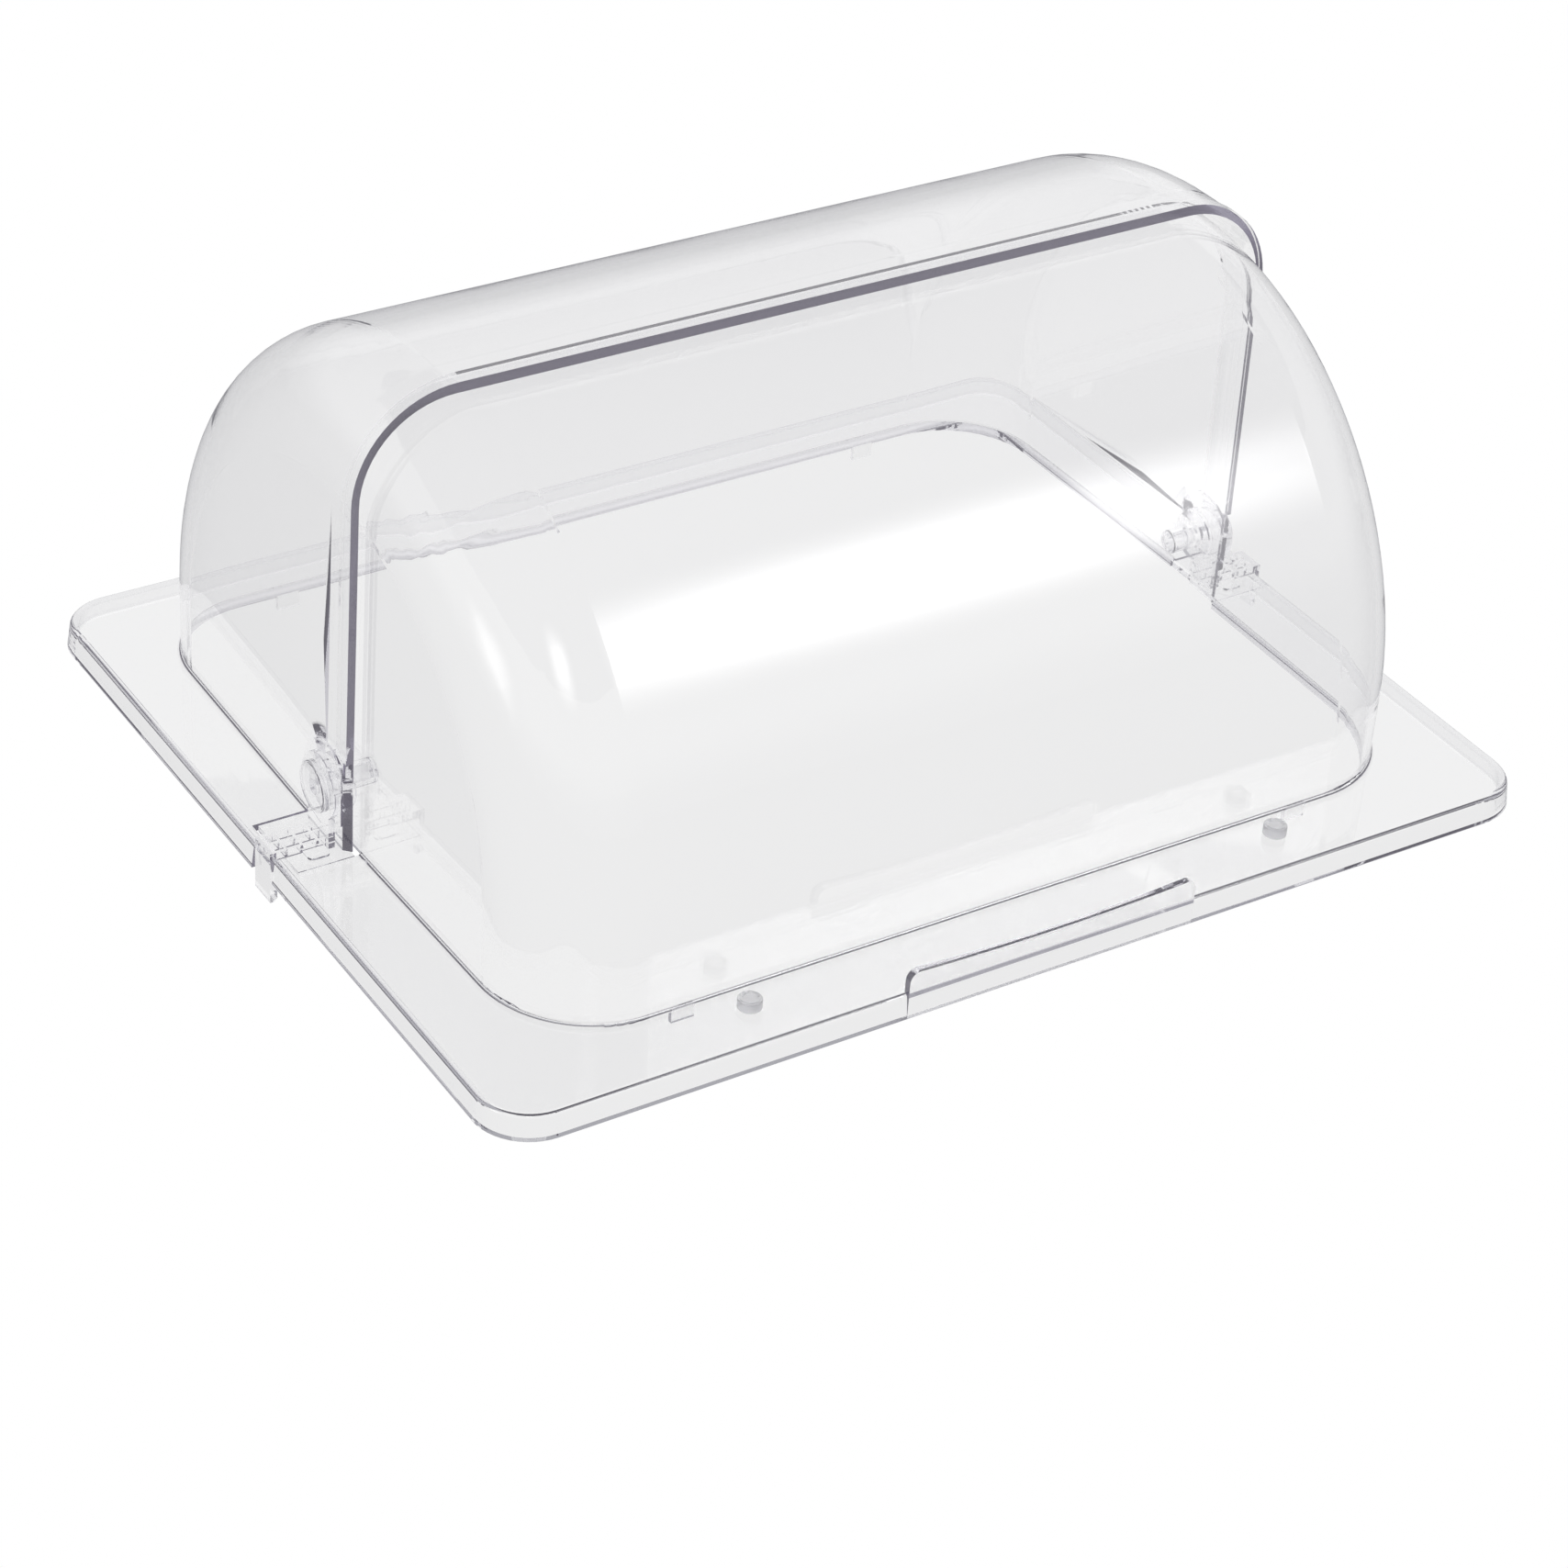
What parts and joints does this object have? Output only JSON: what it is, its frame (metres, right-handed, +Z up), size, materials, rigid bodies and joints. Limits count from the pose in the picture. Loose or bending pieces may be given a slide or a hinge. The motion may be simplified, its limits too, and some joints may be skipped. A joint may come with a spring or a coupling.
{
  "type": "roll-top food cover",
  "caption": "Clear barrel-shaped food cover with a wide flat flange, a fixed rear shell and a front shell that swings up and back inside it on side hinge brackets.",
  "frame": {"origin": "centre of the overall box in plan, at the height of the lowest point of the two tray hooks", "axes": "+Z up; -Y is the front, where the finger lip is; +X is the right side seen from the front, along the hinge line"},
  "size_m": [0.44, 0.356, 0.1976],
  "materials": {
    "clear_shell": "clear gloss",
    "clear_fitting": "clear gloss",
    "soft_pad": "translucent matte"
  },
  "bodies": {
    "rear_shell": {"rear_cover": "clear_shell", "hinge_bracket_left": "clear_fitting", "hinge_bracket_right": "clear_fitting", "pivot_pin_left": "clear_fitting", "pivot_pin_right": "clear_fitting", "spacer_ring_left": "clear_fitting", "spacer_ring_right": "clear_fitting", "cap_nut_left": "clear_fitting", "cap_nut_right": "clear_fitting"},
    "front_shell": {"front_cover": "clear_shell", "stop_pad_left": "soft_pad", "stop_pad_right": "soft_pad"}
  },
  "joints": [
    {"name": "front_shell_hinge", "type": "hinge", "parent": "rear_shell", "child": "front_shell", "pos_m": [0, -0.0032, 0.0402], "axis": [-1, 0, 0], "range_deg": [0, 91.1]}
  ]
}
